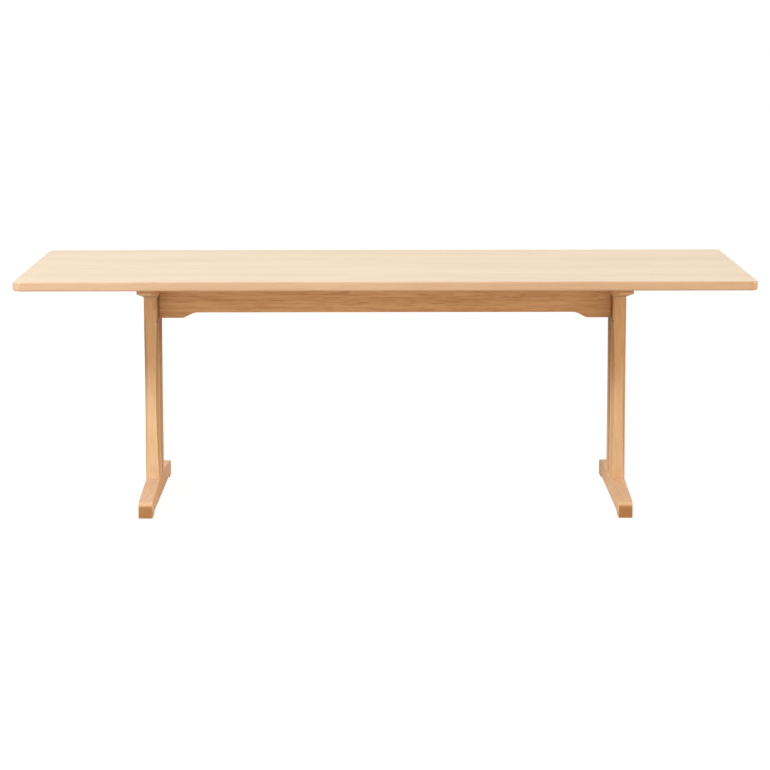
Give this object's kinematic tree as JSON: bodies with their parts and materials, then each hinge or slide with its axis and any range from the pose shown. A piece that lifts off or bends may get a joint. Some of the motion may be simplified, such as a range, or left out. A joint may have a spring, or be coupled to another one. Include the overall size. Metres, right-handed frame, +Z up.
{
  "type": "communion table",
  "caption": "Long trestle table in pale solid wood, with a rounded plank top, paired posts on sloping feet and one shaped rail between the trestles.",
  "frame": {"origin": "on the floor under the middle of the top", "axes": "+X along the table, +Y across it away from the viewer, +Z up"},
  "size_m": [2.2, 0.98, 0.73],
  "materials": {
    "top_wood": "soap-finished, matt",
    "trestle_wood": "soap-finished, matt",
    "rail_wood": "soap-finished, matt",
    "button_wood": "bare, planed",
    "dowel_wood": "bare, fluted",
    "bolt_steel": "zinc plated",
    "washer_steel": "zinc plated",
    "nut_steel": "zinc plated",
    "screw_steel": "zinc plated",
    "glide_nylon": "moulded nylon"
  },
  "bodies": {
    "root": {"barrel_nuts": "nut_steel", "bearer_screw_washers": "washer_steel", "bearer_screws": "screw_steel", "centre_rail": "rail_wood", "foot_glides": "glide_nylon", "head_block_dowels": "dowel_wood", "left_back_post": "trestle_wood", "left_bearer": "trestle_wood", "left_foot": "trestle_wood", "left_front_post": "trestle_wood", "left_head_block": "trestle_wood", "rail_bolt_washers": "washer_steel", "rail_bolts": "bolt_steel", "right_back_post": "trestle_wood", "right_bearer": "trestle_wood", "right_foot": "trestle_wood", "right_front_post": "trestle_wood", "right_head_block": "trestle_wood", "top_board_1": "top_wood", "top_board_2": "top_wood", "top_board_3": "top_wood", "top_board_4": "top_wood", "top_board_5": "top_wood", "top_board_6": "top_wood", "top_board_7": "top_wood", "top_board_8": "top_wood", "top_button_screws": "screw_steel", "top_buttons": "button_wood"}
  },
  "joints": []
}
